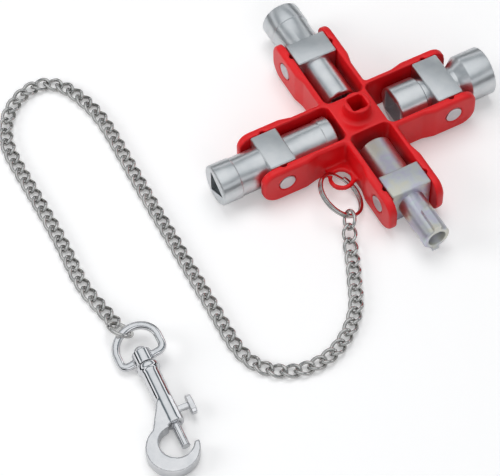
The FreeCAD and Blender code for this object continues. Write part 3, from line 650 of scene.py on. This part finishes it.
# %% [markdown]
# ## The spring
#
# The spring sits inside the hook's shank and is hardly seen. The frame's coil has the
# right shape already, so it stays and only gets a darker, duller steel.

# %% The spring keeps the frame's own coil
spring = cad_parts["bolt_spring"]
spring.data.materials.clear()
spring.data.materials.append(spring_steel)
print("finished", spring.name)

# %% [markdown]
# ## Floor
#
# A pale floor takes the shadows. More light would turn it white but would also wash out
# the object, so the floor adds a faint glow that only the camera sees.

# %% Lay the floor
FLOOR_HEIGHT = cad_box[0][2]
FLOOR_HALF = 3.0
FLOOR_TONE = 0.86
FLOOR_GLOW = 0.24
WHITE = (1, 1, 1, 1)

floor_corners = [
    (x * FLOOR_HALF, y * FLOOR_HALF, FLOOR_HEIGHT)
    for x, y in ((-1, -1), (1, -1), (1, 1), (-1, 1))
]
floor_mesh = bpy.data.meshes.new("floor")
floor_mesh.from_pydata(floor_corners, [], [(0, 1, 2, 3)])
floor = bpy.data.objects.new("floor", floor_mesh)
bpy.context.scene.collection.objects.link(floor)

paper = Finish("pale_paper")
paper.surface(Base_Color=(FLOOR_TONE, FLOOR_TONE, FLOOR_TONE, 1), Roughness=0.9)
matt = Value(paper, paper.shader.outputs[0])
is_camera = paper.node("ShaderNodeLightPath", output="Is Camera Ray")
glow = paper.node("ShaderNodeEmission", None, {"Color": WHITE, "Strength": FLOOR_GLOW})
lit = paper.node("ShaderNodeAddShader", None, {0: matt, 1: glow})
seen = paper.node("ShaderNodeMixShader", None, {0: is_camera, 1: matt, 2: lit})
paper.set_input(paper.tree.nodes["Material Output"].inputs["Surface"], seen)
floor_mesh.materials.append(paper.material)
print("floor at", round(FLOOR_HEIGHT / MM, 2), "mm")

# %% [markdown]
# ## Room
#
# Polished metal shows its room and little else. One even tone would leave it flat, so
# the room that reflections see changes with height: a dark wall at the horizon, a bright
# strip above it, a dark gap and a pale ceiling. Everything else gets one soft grey, and
# the camera sees white.

# %% Build the room
ROOM_BANDS = [
    (0.0, (0.9, 0.9, 0.9)),
    (0.49, (0.60, 0.61, 0.63)),
    (0.51, (0.015, 0.02, 0.025)),
    (0.64, (0.03, 0.035, 0.04)),
    (0.68, (0.95, 0.96, 0.98)),
    (0.75, (1.10, 1.10, 1.12)),
    (0.79, (0.09, 0.11, 0.12)),
    (0.86, (0.16, 0.19, 0.21)),
    (0.895, (0.80, 0.82, 0.84)),
    (1.0, (0.92, 0.93, 0.94)),
]
SOFT_GREY = (0.62, 0.63, 0.65, 1)
SOFT_STRENGTH = 0.50

world = bpy.data.worlds.new("room")
bpy.context.scene.world = world
world.use_nodes = True
world.node_tree.nodes.clear()
room = Graph(world.node_tree)


def wall(colour, strength):
    """A background of a colour and strength."""
    return room.node("ShaderNodeBackground", None, {"Color": colour, "Strength": strength})


def choose(ray, others, chosen):
    """One background for a kind of ray, and another for all other rays."""
    kind = room.node("ShaderNodeLightPath", output=ray)
    return room.node("ShaderNodeMixShader", None, {0: kind, 1: others, 2: chosen})


direction = room.node("ShaderNodeTexCoord", output="Generated")
height = room.node("ShaderNodeSeparateXYZ", None, {0: direction}, output="Z")
bands = room.ramp(height * 0.5 + 0.5, ROOM_BANDS)
seen = choose("Is Glossy Ray", wall(SOFT_GREY, SOFT_STRENGTH), wall(bands, 1.0))
seen = choose("Is Camera Ray", seen, wall(WHITE, 1.0))
end = room.tree.nodes.new("ShaderNodeOutputWorld")
room.set_input(end.inputs["Surface"], seen)
print("room of", len(ROOM_BANDS), "tones")

# %% [markdown]
# ## Lamps
#
# Three broad square lamps shape the plastic and cast the soft shadows: one overhead, one
# low at the left and a weak one on the near side. They are left out of reflections, so
# that only the room's bands show in the metal.


# %% Hang the lamps
def soft_lamp(name, place, size, power):
    """A square lamp that faces the middle of the object."""
    lamp = bpy.data.lights.new(name, "AREA")
    lamp.size = size
    lamp.energy = power
    holder = bpy.data.objects.new(name, lamp)
    holder.location = place
    holder.visible_glossy = False
    aim = Vector(MIDDLE) - Vector(place)
    holder.rotation_euler = aim.to_track_quat("-Z", "Y").to_euler()
    bpy.context.scene.collection.objects.link(holder)
    print(name, power, "W")


MIDDLE = (-0.03, -0.01, 0.0)
soft_lamp("overhead", (0.05, 0.20, 0.80), 0.55, 2.8)
soft_lamp("left_side", (-0.75, 0.25, 0.42), 0.45, 2.6)
soft_lamp("near_side", (-0.20, -0.70, 0.50), 0.50, 1.2)

# %% [markdown]
# ## Camera
#
# The camera stands where a fit to the cross puts it: its heading, its fall, a slight
# roll, and how far the object's origin lies aside, up and away in the camera's own frame.
# The focal length comes from the same fit, in pixels of a picture 500 wide.

# %% Place the camera
CAMERA_TURN = math.radians(27.21)
CAMERA_FALL = math.radians(54.82)
CAMERA_ROLL = math.radians(-1.04)
CAMERA_ASIDE = 33.843 * MM
CAMERA_RISE = -31.734 * MM
CAMERA_AWAY = 758.8 * MM
FOCAL_PIXELS = 2370.3
PICTURE_WIDTH = 500
SENSOR = 36.0
NEAREST = 0.01

ahead = Vector(
    (
        math.sin(CAMERA_TURN) * math.cos(CAMERA_FALL),
        math.cos(CAMERA_TURN) * math.cos(CAMERA_FALL),
        -math.sin(CAMERA_FALL),
    )
)
level = Vector((math.cos(CAMERA_TURN), -math.sin(CAMERA_TURN), 0))
upright = level.cross(ahead)
right = math.cos(CAMERA_ROLL) * level + math.sin(CAMERA_ROLL) * upright
up = math.cos(CAMERA_ROLL) * upright - math.sin(CAMERA_ROLL) * level
eye_point = -CAMERA_ASIDE * right + CAMERA_RISE * up - CAMERA_AWAY * ahead

camera_data = bpy.data.cameras.new("camera")
camera_data.sensor_width = SENSOR
camera_data.lens = FOCAL_PIXELS / PICTURE_WIDTH * SENSOR
camera_data.clip_start = NEAREST
camera = bpy.data.objects.new("camera", camera_data)
columns = zip(right, up, -ahead, eye_point)
camera.matrix_world = Matrix([*map(list, columns), [0, 0, 0, 1]])
bpy.context.scene.collection.objects.link(camera)
bpy.context.scene.camera = camera
bpy.context.scene.view_settings.view_transform = "Standard"
print("camera at", [round(v / MM) for v in eye_point], "mm")

# %% [markdown]
# ## Bring the scene up to date
#
# The view layer is brought up to date once every dressed piece is in place.

# %% Update the view layer
bpy.context.view_layer.update()
